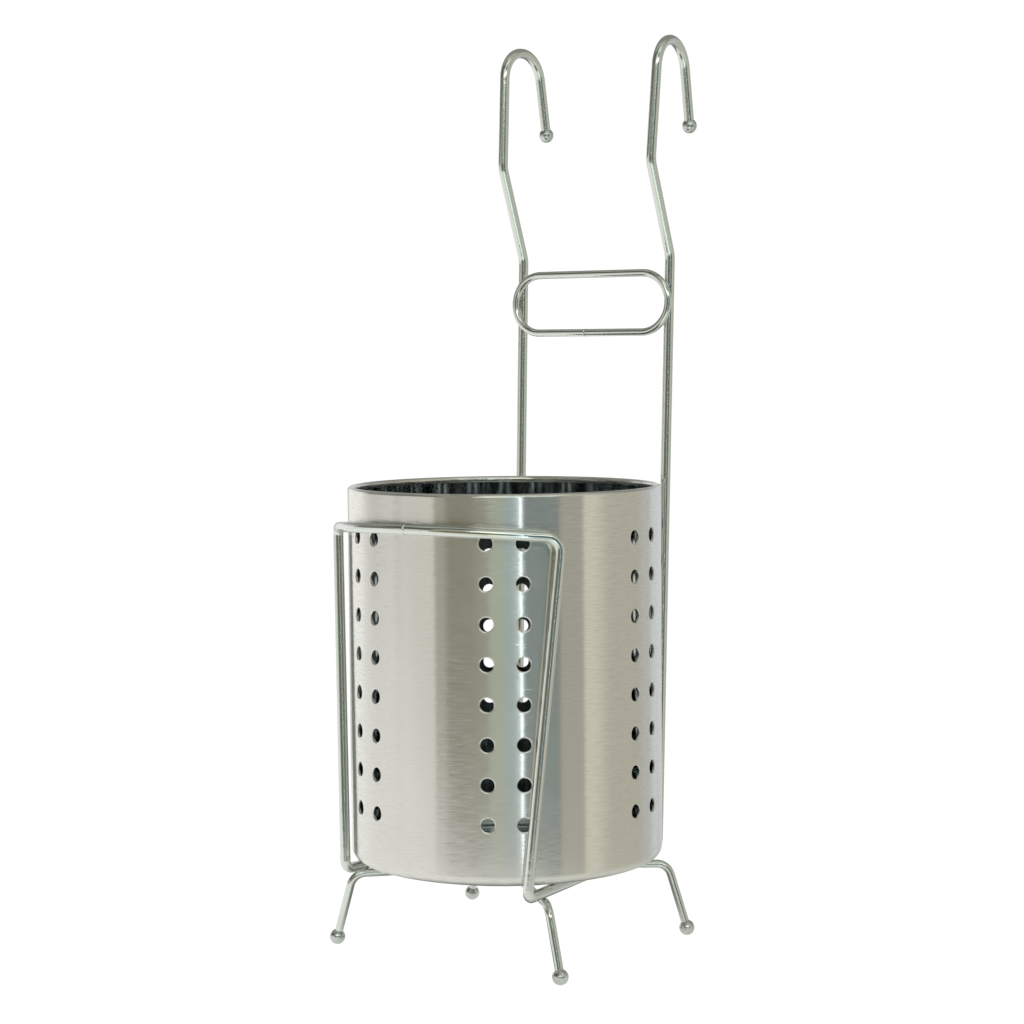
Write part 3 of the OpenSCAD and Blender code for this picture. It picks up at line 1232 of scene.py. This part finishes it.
@dataclass
class Rack:
    """The wire rack: two side wires, a brace ring, two foot wires and six balls.

    Lengths are in metres and angles in degrees.

    Attributes:
        wire_d: The diameter of the side wires.
        foot_wire_d: The diameter of the foot wires.
        ring_wire_d: The diameter of the ring's wire.
        weld_sink: How far two welded wires sink into each other.
        ridge_h: The height of the swell at a butt weld.
        ridge_w: Its width along the wire.
        groove_h: The depth of the groove in that swell.
        groove_w: Half the groove's width.
        clearance_h: The height of the foot wires' undersides.
        ball_d: The balls' diameter.
        foot_bend_r: The bend where a foot wire turns down.
        foot_out: How far that bend is outside the front leg.
        foot_front_in: How far the front bend is behind the front leg.
        foot_back_in: How far the back bend is in front of the back corner.
        splay_side: How far a foot leans out sideways.
        splay_front: How far a front foot leans forwards.
        splay_back: How far a back foot leans backwards.
        upper_foot_turn: How far the upper foot wire is turned about its middle.
        bow_r: The bend radius of the foot wires' bow at their crossing.
        bar_gap: The gap between the canister and the front bar.
        leg_gap: The gap between the canister and the lower ends of the front legs.
        ring_gap: The gap between the canister and the ring.
        shank_gap: The gap between the canister and the hooks' shanks.
        bar_drop: How far the bar's middle line is below the rim in front.
        bar_tilt: How far the bar's plane rises towards the front.
        bar_half_angle: The angle of one half of the bar round the canister.
        bar_end: The straight end of the bar before its corner.
        right_bar_bend_r: The bend radius of the bar's right corner.
        left_bar_bend_r: The bend radius of its left corner.
        right_leg_angle: Where the right leg stands round the canister.
        left_leg_angle: Where the left leg stands.
        bottom_bend_r: The bends at the lower corners.
        upright_pitch: The distance between the uprights.
        upright_taper: How much nearer each stands to the middle at its foot.
        upright_lean: How far the uprights lean back.
        ring_rise: How far the ring's middle is above the rim.
        ring_over: How far the ring reaches past an upright.
        ring_h: The ring's height.
        ring_weld_x: How far the ring's weld is to the left of its middle.
        joggle_rise: How far the joggle's lower corner is above the ring's middle.
        joggle_h: The height of the joggle.
        joggle_bend_r: The bends of the joggle.
        shank_h: The height of a hook's shank.
        shank_lean: How far the shanks lean back.
        shank_spread: How far the shanks lean outwards.
        hook_inner_r: The inside radius of a hook.
        hook_drop: How far a hook's tip is below its top corner.
        hook_flare: How far the tip leans away.
        right_hook_toe: How far the right hook is turned inwards.
        left_hook_toe: How far the left one is.
        least_straight: The straight stretch that is left between a hook's two bends.
        weld_steps: The places of the points near a weld, as shares of half the swell's width.
        bar_steps: The parts of one half of the bar beyond the weld.
        ring_steps: The parts of each rounded end of the ring.
        foot_wire_z: The height of the foot wires' middle lines.
        run_z: The height of the runs under the canister.
        bar_r: The radius of the bar's middle line.
        bar_centre_z: The height of its centre.
        ring_z: The height of the ring's middle.
        ring_half_h: Half the height of its middle line.
        ring_y: How far back it stands.
        leg_r: The distance of the front legs' lower ends from the axis.
        back_corner: The right upright's lower corner.
        joggle_low: The joggle's lower corner.
        joggle_high: Its upper corner.
    """

    wire_d: float = 0.004
    foot_wire_d: float = 0.0032
    ring_wire_d: float = 0.003
    weld_sink: float = 0.0003
    ridge_h: float = 0.0001
    ridge_w: float = 0.0016
    groove_h: float = 0.0003
    groove_w: float = 0.0003
    clearance_h: float = 0.0265
    ball_d: float = 0.006
    foot_bend_r: float = 0.006
    foot_out: float = 0.0035
    foot_front_in: float = 0.0083
    foot_back_in: float = 0.0118
    splay_side: float = 14.7
    splay_front: float = 5.2
    splay_back: float = 8.2
    upper_foot_turn: float = 2.8
    bow_r: float = 0.15
    bar_gap: float = 0.0014
    leg_gap: float = 0.0008
    ring_gap: float = 0.0004
    shank_gap: float = 0.00045
    bar_drop: float = 0.0129
    bar_tilt: float = 6.4
    bar_half_angle: float = 46.2
    bar_end: float = 0.0076
    right_bar_bend_r: float = 0.0056
    left_bar_bend_r: float = 0.0034
    right_leg_angle: float = 41.05
    left_leg_angle: float = 46.0
    bottom_bend_r: float = 0.0032
    upright_pitch: float = 0.0698
    upright_taper: float = 0.0009
    upright_lean: float = 2.29
    ring_rise: float = 0.0698
    ring_over: float = 0.0028
    ring_h: float = 0.0265
    ring_weld_x: float = 0.002
    joggle_rise: float = 0.0184
    joggle_h: float = 0.0365
    joggle_bend_r: float = 0.01
    shank_h: float = 0.0478
    shank_lean: float = 4.86
    shank_spread: float = 1.45
    hook_inner_r: float = 0.0103
    hook_drop: float = 0.0322
    hook_flare: float = 10.4
    right_hook_toe: float = 4.5
    left_hook_toe: float = 2.8
    least_straight: float = 0.0004
    weld_steps: Sequence[float] = (0.0, 0.14, 0.27, 0.4, 0.55, 0.7, 0.85, 1.0, 1.3, 2.2)
    bar_steps: int = 36
    ring_steps: int = 28
    foot_wire_z: float = field(init=False)
    run_z: float = field(init=False)
    bar_r: float = field(init=False)
    bar_centre_z: float = field(init=False)
    ring_z: float = field(init=False)
    ring_half_h: float = field(init=False)
    ring_y: float = field(init=False)
    leg_r: float = field(init=False)
    back_corner: Vector = field(init=False)
    joggle_low: Vector = field(init=False)
    joggle_high: Vector = field(init=False)

    def __post_init__(self) -> None:
        """Works out the places that several pieces share."""
        canister = Canister()
        can_r, rim_z = canister.outer_r, canister.rim_z
        self.foot_wire_z = self.clearance_h + self.foot_wire_d / 2
        self.run_z = self.foot_wire_z + (self.foot_wire_d + self.wire_d) / 2 - self.weld_sink
        self.bar_r = can_r + self.bar_gap + self.wire_d / 2
        self.bar_centre_z = rim_z - self.bar_drop - self.bar_r * sin(self.bar_tilt)
        self.ring_z = rim_z + self.ring_rise
        self.ring_half_h = (self.ring_h - self.ring_wire_d) / 2
        lean = tan(self.upright_lean)
        self.ring_y = can_r + self.ring_gap + self.ring_wire_d / 2 + self.ring_half_h * lean
        self.leg_r = can_r + self.leg_gap + self.wire_d / 2
        upright_x = self.upright_pitch / 2
        upright_y = self.ring_y + (self.ring_wire_d + self.wire_d) / 2 - self.weld_sink
        corner_y = upright_y - (self.ring_z - self.run_z) * lean
        self.back_corner = Vector((upright_x - self.upright_taper, corner_y, self.run_z))
        joggle_z = self.ring_z + self.joggle_rise
        self.joggle_low = Vector((upright_x, upright_y + self.joggle_rise * lean, joggle_z))
        shank_y = math.sqrt((can_r + self.shank_gap + self.wire_d / 2) ** 2 - upright_x**2)
        self.joggle_high = Vector((upright_x, shank_y, joggle_z + self.joggle_h))

    @property
    def near_weld(self) -> list[float]:
        """The distances from a weld at which its swell is drawn."""
        return [self.ridge_w / 2 * step for step in self.weld_steps]

    def front_corner(self, angle: float) -> Vector:
        """Works out where a front leg meets the run, at an angle round the canister."""
        return Vector((self.leg_r * sin(angle), -self.leg_r * cos(angle), self.run_z))

    def in_bar_plane(self, x: float, y: float) -> Vector:
        """Turns a level point into the front bar's tilted plane."""
        return Vector((x, y * cos(self.bar_tilt), self.bar_centre_z - y * sin(self.bar_tilt)))

    def weld_swell(self, distance: float, diameter: float) -> float:
        """Works out how thick a wire is near a butt weld.

        Args:
            distance: How far the place is from the weld.
            diameter: The wire's diameter.

        Returns:
            The thickness there, as a share of the diameter.
        """
        share = max(0.0, 1 - distance / (self.ridge_w / 2))
        ridge = 2 * self.ridge_h * math.sin(math.pi * share / 2) ** 2
        groove = 2 * self.groove_h * max(0.0, 1 - distance / self.groove_w)
        return 1 + (ridge - groove) / diameter

    def hook(self, toe: float) -> list[Corner]:
        """Works out the corners of a hook.

        Args:
            toe: The hook's inward turn, in degrees.

        Returns:
            The hook's corners, from its front to its tip.
        """
        hook_r = self.hook_inner_r + self.wire_d / 2
        bends = tan((90 - self.shank_lean) / 2) + tan((90 - self.hook_flare) / 2)
        span = hook_r * bends + self.least_straight
        back = Vector((-sin(toe), cos(toe), 0.0))
        rise = Vector((tan(self.shank_spread), tan(self.shank_lean), 1.0))
        front = self.joggle_high + self.shank_h * rise
        rear = front + span * back
        tip = rear + self.hook_drop * (tan(self.hook_flare) * back - UP)
        return [Corner(front, hook_r), Corner(rear, hook_r), Corner(tip)]

    def side_route(self, leg_angle: float, bar_bend_r: float, toe: float) -> list[Corner]:
        """Works out the route of a side wire, as it stands on the right.

        Args:
            leg_angle: The angle of the leg's lower end round the canister, in degrees.
            bar_bend_r: The bend radius of the front bar's corner.
            toe: The hook's inward turn, in degrees.

        Returns:
            The corners, from the middle of the front bar to the hook's tip.
        """
        near = self.near_weld
        rest = self.bar_r * math.radians(self.bar_half_angle) - near[-1]
        far = [near[-1] + rest * (i + 1) / self.bar_steps for i in range(self.bar_steps)]
        route = []
        for distance in (*near, *far):
            angle = distance / self.bar_r
            place = self.in_bar_plane(self.bar_r * math.sin(angle), -self.bar_r * math.cos(angle))
            route.append(Corner(place, 0.0, self.weld_swell(distance, self.wire_d)))
        end, tilt = self.bar_half_angle, self.bar_tilt
        way = Vector((cos(end), sin(end) * cos(tilt), -sin(end) * sin(tilt)))
        return [
            *route,
            Corner(route[-1].at + self.bar_end * way, bar_bend_r),
            Corner(self.front_corner(leg_angle), self.bottom_bend_r),
            Corner(self.back_corner, self.bottom_bend_r),
            Corner(self.joggle_low, self.joggle_bend_r),
            Corner(self.joggle_high, self.joggle_bend_r),
            *self.hook(toe),
        ]

    def ring_route(self) -> list[Corner]:
        """Works out the route of the brace ring, from its butt weld round to it again.

        Returns:
            The corners.
        """
        end_x = self.upright_pitch / 2 + self.ring_over - self.ring_h / 2
        near, weld_x, half_h = self.near_weld, -self.ring_weld_x, self.ring_half_h
        level = [(weld_x + d, -half_h, d) for d in near]
        level += [(x, z, half_h) for x, z in arc((end_x, 0.0), half_h, -90, 90, self.ring_steps)]
        level += [(x, z, half_h) for x, z in arc((-end_x, 0.0), half_h, 90, 270, self.ring_steps)]
        level += [(weld_x - d, -half_h, d) for d in reversed(near[1:])]
        lean = self.upright_lean
        route = []
        for x, z, distance in level:
            place = Vector((x, self.ring_y + z * sin(lean), self.ring_z + z * cos(lean)))
            route.append(Corner(place, 0.0, self.weld_swell(distance, self.ring_wire_d)))
        return route

    def foot_route(self, side: int, bow: float, turn: float = 0.0) -> list[Corner]:
        """Works out the route of a foot wire.

        Args:
            side: The side that its front leg stands on, 1 for the right and -1 for the left.
            bow: How far its middle is above its ends.
            turn: How far it is turned about its middle, clockwise from above, in degrees.

        Returns:
            The corners, from the front ball to the back one.
        """
        corner = self.front_corner(self.right_leg_angle)
        x = corner.x + self.foot_out
        front = Vector((side * x, corner.y + self.foot_front_in, self.foot_wire_z))
        back = Vector((-side * x, self.back_corner.y - self.foot_back_in, self.foot_wire_z))
        leg_h = self.foot_wire_z - self.ball_d / 2
        splay = tan(self.splay_side)
        front_tip = front + leg_h * Vector((side * splay, -tan(self.splay_front), -1.0))
        back_tip = back + leg_h * Vector((-side * splay, tan(self.splay_back), -1.0))
        centre = (front + back) / 2
        about = Matrix.Translation(centre) @ Matrix.Rotation(-math.radians(turn), 4, "Z")
        about = about @ Matrix.Translation(-centre)
        return [
            Corner(about @ front_tip),
            Corner(about @ front, self.foot_bend_r),
            Corner(centre + bow * UP, self.bow_r),
            Corner(about @ back, self.foot_bend_r),
            Corner(about @ back_tip),
        ]

    def build(self, finishes: Finishes) -> None:
        """Builds every piece of the rack.

        Args:
            finishes: The finishes.
        """
        tree = wire_tree()
        bow = (self.foot_wire_d - self.weld_sink) / 2
        right = self.side_route(self.right_leg_angle, self.right_bar_bend_r, self.right_hook_toe)
        left = mirrored(self.side_route(self.left_leg_angle, self.left_bar_bend_r, self.left_hook_toe))
        upper = self.foot_route(-1, bow, self.upper_foot_turn)
        lower = self.foot_route(1, -bow)
        for wire in (
            Wire("right_frame_wire", "right_side_wire", self.wire_d, right),
            Wire("left_frame_wire", "left_side_wire", self.wire_d, left),
            Wire("welded_brace_ring", "brace_ring", self.ring_wire_d, self.ring_route(), closed=True),
            Wire("upper_cross_wire", "upper_foot_wire", self.foot_wire_d, upper),
            Wire("lower_cross_wire", "lower_foot_wire", self.foot_wire_d, lower),
        ):
            wire.build(tree, finishes.wire)
        for name, route, end, wire_d in (
            ("front_right_foot", lower, 0, self.foot_wire_d),
            ("back_left_foot", lower, -1, self.foot_wire_d),
            ("front_left_foot", upper, 0, self.foot_wire_d),
            ("back_right_foot", upper, -1, self.foot_wire_d),
            ("right_hook", right, -1, self.wire_d),
            ("left_hook", left, -1, self.wire_d),
        ):
            beside = route[1] if end == 0 else route[-2]
            ball = Ball(name + "_end", name + "_ball", route[end].at, beside.at, self.ball_d, wire_d)
            ball.build(finishes.ball)


def mirrored(route: Iterable[Corner]) -> list[Corner]:
    """Mirrors a route from right to left."""
    return [Corner(Vector((-c.at.x, c.at.y, c.at.z)), c.bend_r, c.swell) for c in route]


@dataclass(frozen=True)
class Panel:
    """An upright stretch of the studio's soft light. It reaches to the start of the next one.

    Attributes:
        start: The bearing of its left side, in degrees to the right of the camera.
        edge: The softness of that side, in degrees.
        tone: Its colour.
        low: Its brightness near the floor.
        level: Its brightness at the object's height.
        high: Its brightness above that.
    """

    start: float
    edge: float
    tone: Colour
    low: float
    level: float
    high: float


@dataclass(frozen=True)
class Patch:
    """A field of light or shade that lies over the panels.

    Attributes:
        left: The bearing of its left side, in degrees to the right of the camera.
        right: The bearing of its right side.
        bottom: The elevation of its lower side.
        top: The elevation of its upper side.
        softness: The width of its soft edges, in degrees.
        tone: Its light.
    """

    left: float
    right: float
    bottom: float
    top: float
    softness: float
    tone: Colour

    def share(self, net: Net, bearing: Any, elevation: Any) -> NodeSocket:
        """Works out how much of the light in a direction is the patch's.

        Args:
            net: The node net to build in.
            bearing: The direction's bearing, in radians to the right of the camera.
            elevation: Its elevation, in radians.

        Returns:
            The share, from 0 to 1.
        """
        share = 1.0
        half = self.softness / 2
        for value, edge, way in (
            (bearing, self.left, 1),
            (bearing, self.right, -1),
            (elevation, self.bottom, 1),
            (elevation, self.top, -1),
        ):
            ends = (math.radians(edge - way * half), math.radians(edge + way * half))
            share = net.math("MULTIPLY", share, net.ramp(value, *ends))
        return share


@dataclass
class Studio:
    """The plain studio: a pale floor, soft panels of light, a white backdrop and the camera.

    The panels and patches are soft lights. They were set one at a time, by looking at the
    render beside the photograph, until the stripes of light and shade in the steel were much alike.

    Attributes:
        place: The camera's place.
        azimuth: The camera's direction from the object, in degrees from the front to the right.
        elevation: The camera's elevation, in degrees.
        roll: The camera's roll, in degrees.
        focal_share: The focal length as a share of the picture's width.
        sensor: The sensor's width, in millimetres.
        clip: The nearest and the farthest that the camera sees.
        exposure: What every light is multiplied by.
        backdrop: How bright the backdrop is, seen from the camera.
        floor_size: The floor's width.
        floor_tone: The floor's colour.
        floor_roughness: The floor's roughness.
        floor_glow: The floor's own light, seen from the camera.
        sheet_front: How far the sheet of paper under the object reaches towards the camera.
        sheet_right: How far it reaches to the right.
        sheet_back: How far it reaches away from the camera.
        sheet_edge: The softness of its edges.
        sheet_light: The light of the paper's left part, seen in the steel.
        sheet_dim: The light of its right part.
        sheet_fade: How far on both sides of the middle one fades into the other.
        shadow_r: The radius of the shade under the object.
        shadow_edge: The softness of its edge.
        shadow_light: The paper's light in that shade.
        low_zone: The elevations over which the panels turn to their low brightness, in degrees.
        high_zone: The elevations over which they turn to their high brightness, in degrees.
        panels: The stretches of light all round, from the left of the back to the right.
        patches: The fields that lie over them, each over those before it.
    """

    place: Spot = (0.50703, -0.738496, 0.231252)
    azimuth: float = 34.287
    elevation: float = 4.084
    roll: float = -0.441
    focal_share: float = 2.28585
    sensor: float = 36.0
    clip: Range = (0.01, 100.0)
    exposure: float = 1.0
    backdrop: float = 1.05
    floor_size: float = 30.0
    floor_tone: Colour = (0.05, 0.05, 0.05)
    floor_roughness: float = 0.9
    floor_glow: float = 1.02
    sheet_front: float = 0.24
    sheet_right: float = 0.1
    sheet_back: float = 0.35
    sheet_edge: float = 0.08
    sheet_light: Colour = (0.98, 0.99, 0.95)
    sheet_dim: Colour = (0.72, 0.74, 0.68)
    sheet_fade: float = 0.15
    shadow_r: float = 0.055
    shadow_edge: float = 0.02
    shadow_light: Colour = (0.22, 0.23, 0.21)
    low_zone: Range = (-12, -24)
    high_zone: Range = (8, 17)
    panels: Sequence[Panel] = (
        # Behind the object on the left, and the bright left side.
        Panel(-180, 4, (1.0, 1.0, 0.97), 0.7, 0.62, 0.5),
        Panel(-160, 5, (1.0, 1.0, 0.97), 0.95, 1.02, 0.5),
        Panel(-126, 5, (1.0, 0.99, 0.94), 1.15, 0.88, 0.25),
        Panel(-112, 6, (1.0, 0.98, 0.9), 1.2, 0.76, 0.12),
        # The dim middle, warm on its left and cooler towards the lamp.
        Panel(-52, 1.5, (1.0, 0.98, 0.82), 0.85, 0.36, 0.4),
        Panel(-43, 3, (1.0, 0.98, 0.75), 0.8, 0.185, 0.42),
        Panel(-24, 2, (0.98, 1.0, 0.75), 0.82, 0.15, 0.42),
        Panel(-12, 2, (0.89, 1.0, 0.78), 1.2, 0.245, 0.56),
        Panel(-1, 2, (0.78, 1.0, 1.0), 1.2, 0.25, 0.6),
        # The glow beside the lamp, and the dark field to its right.
        Panel(7, 2.5, (0.82, 1.0, 1.0), 1.5, 0.38, 0.8),
        Panel(10.3, 0.8, (0.85, 1.0, 1.0), 1.7, 0.5, 1.1),
        Panel(12.5, 0.5, (0.78, 0.98, 1.0), 0.75, 0.11, 0.2),
        Panel(18, 2, (0.8, 1.0, 0.97), 0.65, 0.15, 0.2),
        # The warm right side.
        Panel(40, 2, (1.0, 0.97, 0.85), 0.7, 0.37, 0.58),
        Panel(59, 0.8, (1.0, 0.97, 0.83), 0.75, 0.74, 0.6),
        Panel(75, 10, (1.0, 0.97, 0.83), 0.62, 0.54, 0.52),
        # Behind the object on the right.
        Panel(118, 4, (0.98, 1.0, 0.95), 0.55, 0.58, 0.46),
        Panel(134, 5, (0.93, 0.98, 1.0), 0.6, 0.74, 0.46),
        Panel(158, 4, (1.0, 1.0, 1.0), 0.7, 0.66, 0.56),
    )
    patches: Sequence[Patch] = (
        # The even light from above, dimmer towards the back on both sides.
        Patch(-200, 200, 48, 100, 8, (0.5, 0.52, 0.44)),
        Patch(-200, -100, 22, 100, 12, (0.3, 0.31, 0.28)),
        Patch(100, 200, 22, 100, 12, (0.3, 0.31, 0.28)),
        # A shade high on the left, three lights above the camera, and a shade low on the left.
        Patch(-70, -25, 45, 72, 6, (0.14, 0.15, 0.13)),
        Patch(-24, 40, 19, 30, 3, (1.9, 2.0, 1.8)),
        Patch(-20, 2, 30, 43, 3, (1.3, 1.35, 1.25)),
        Patch(2, 60, 45, 60, 4, (0.95, 1.0, 0.9)),
        Patch(-120, -80, 2, 22, 8, (0.2, 0.2, 0.17)),
        # The darker floor behind the object.
        Patch(-200, -150, -60, -14, 8, (0.25, 0.26, 0.24)),
        Patch(150, 200, -60, -14, 8, (0.25, 0.26, 0.24)),
        # The upright tube lamp, with its glare on the floor.
        Patch(11.2, 12.2, -50, 13, 0.3, (3.5, 4.0, 4.3)),
    )

    def build_world(self) -> None:
        """Builds the world's light: the panels, the patches and the backdrop."""
        world = bpy.data.worlds.new("studio")
        bpy.context.scene.world = world
        world.use_nodes = True
        net = Net(world.node_tree)
        x, y, z = net.parted(net.node("ShaderNodeTexCoord").outputs["Generated"])
        bearing = net.math("ARCTAN2", x, net.math("MULTIPLY", y, -1.0))
        bearing = net.math("SUBTRACT", bearing, math.radians(self.azimuth))
        bearing = net.math("WRAP", bearing, math.pi, -math.pi)
        elevation = net.math("ARCSINE", z)
        first, *others = self.panels
        turns = [
            net.ramp(bearing, math.radians(p.start - p.edge), math.radians(p.start + p.edge))
            for p in others
        ]
        zones = {}
        for zone in ("low", "level", "high"):
            zones[zone] = rgba(dimmed(first.tone, getattr(first, zone)))
            for panel, turn in zip(others, turns):
                tone = rgba(dimmed(panel.tone, getattr(panel, zone)))
                zones[zone] = net.blend(turn, zones[zone], tone)
        light = zones["level"]
        for zone, ends in (("low", self.low_zone), ("high", self.high_zone)):
            share = net.ramp(elevation, *(math.radians(e) for e in ends))
            light = net.blend(share, light, zones[zone])
        for patch in self.patches:
            light = net.blend(patch.share(net, bearing, elevation), light, rgba(patch.tone))
        seen = net.node("ShaderNodeLightPath").outputs["Is Camera Ray"]
        white = rgba((self.backdrop / self.exposure,) * 3)
        background = world.node_tree.nodes["Background"]
        net.fill(background, {"Color": net.blend(seen, light, white), "Strength": self.exposure})

    def paper_light(self, net: Net) -> tuple[NodeSocket, NodeSocket]:
        """Works out the sheet of paper that the steel mirrors.

        Args:
            net: The floor material's net.

        Returns:
            The paper's share of the floor, and its light.
        """
        place = net.place()
        turn = math.radians(self.azimuth)
        front = (math.sin(turn), -math.cos(turn), 0.0)
        right = (math.cos(turn), math.sin(turn), 0.0)
        back = (-math.sin(turn), math.cos(turn), 0.0)
        share, spans = 1.0, []
        for way, reach in (
            (front, self.sheet_front),
            (right, self.sheet_right),
            (back, self.sheet_back),
        ):
            spans.append(net.measure("DOT_PRODUCT", place, way))
            inside = net.ramp(spans[-1], reach + self.sheet_edge, reach - self.sheet_edge)
            share = net.math("MULTIPLY", share, inside)
        _, rightwards, _ = spans
        fade = net.ramp(rightwards, -self.sheet_fade, self.sheet_fade)
        light = net.blend(fade, rgba(self.sheet_light), rgba(self.sheet_dim))
        away = net.measure("LENGTH", place)
        near = net.ramp(away, self.shadow_r + self.shadow_edge, self.shadow_r - self.shadow_edge)
        return share, net.blend(near, light, rgba(self.shadow_light))

    def build_floor(self) -> None:
        """Builds the pale floor, which the steel sees as a sheet of paper on a darker floor."""
        half = self.floor_size / 2
        corners = [(-half, -half, 0.0), (half, -half, 0.0), (half, half, 0.0), (-half, half, 0.0)]
        floor = mesh_object("floor", corners, [(0, 1, 2, 3)])
        material = bpy.data.materials.new("floor_pale")
        material.use_nodes = True
        nodes = material.node_tree.nodes
        net = Net(material.node_tree)
        values = {
            "Base Color": rgba(self.floor_tone),
            "Roughness": self.floor_roughness,
            "Specular IOR Level": 0.0,
            "Emission Color": rgba((1.0, 1.0, 1.0)),
            "Emission Strength": self.floor_glow,
        }
        net.fill(nodes["Principled BSDF"], values)
        share, light = self.paper_light(net)
        glow = net.first("ShaderNodeEmission", {0: light, 1: self.exposure})
        clear = net.first("ShaderNodeBsdfTransparent")
        unseen = net.first("ShaderNodeMixShader", {0: share, 1: clear, 2: glow})
        seen = net.node("ShaderNodeLightPath").outputs["Is Camera Ray"]
        pale = nodes["Principled BSDF"].outputs[0]
        mixed = net.first("ShaderNodeMixShader", {0: seen, 1: unseen, 2: pale})
        net.fill(nodes["Material Output"], {"Surface": mixed})
        floor.data.materials.append(material)

    def build_camera(self) -> None:
        """Builds the camera at the photograph's viewing angle."""
        a, e, roll = (math.radians(v) for v in (self.azimuth, self.elevation, self.roll))
        right = Vector((math.cos(a), math.sin(a), 0.0))
        back = Vector((math.sin(a) * math.cos(e), -math.cos(a) * math.cos(e), math.sin(e)))
        up = back.cross(right)
        rolled_right = right * math.cos(roll) + up * math.sin(roll)
        rolled_up = up * math.cos(roll) - right * math.sin(roll)
        turn = Matrix((rolled_right, rolled_up, back)).transposed().to_4x4()
        data = bpy.data.cameras.new("camera")
        data.sensor_width = self.sensor
        data.lens = self.sensor * self.focal_share
        data.clip_start, data.clip_end = self.clip
        camera = bpy.data.objects.new("camera", data)
        camera.matrix_world = Matrix.Translation(Vector(self.place)) @ turn
        bpy.context.scene.collection.objects.link(camera)
        bpy.context.scene.camera = camera

    def build(self) -> None:
        """Builds the studio."""
        bpy.context.scene.view_settings.view_transform = "Standard"
        self.build_world()
        self.build_floor()
        self.build_camera()


def main() -> None:
    """Loads the frame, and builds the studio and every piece."""
    logging.basicConfig(level=logging.INFO, format="%(name)s: %(message)s")
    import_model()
    Studio().build()
    finishes = Finishes.build()
    Canister().build(finishes)
    Rack().build(finishes)


if __name__ == "__main__":
    main()
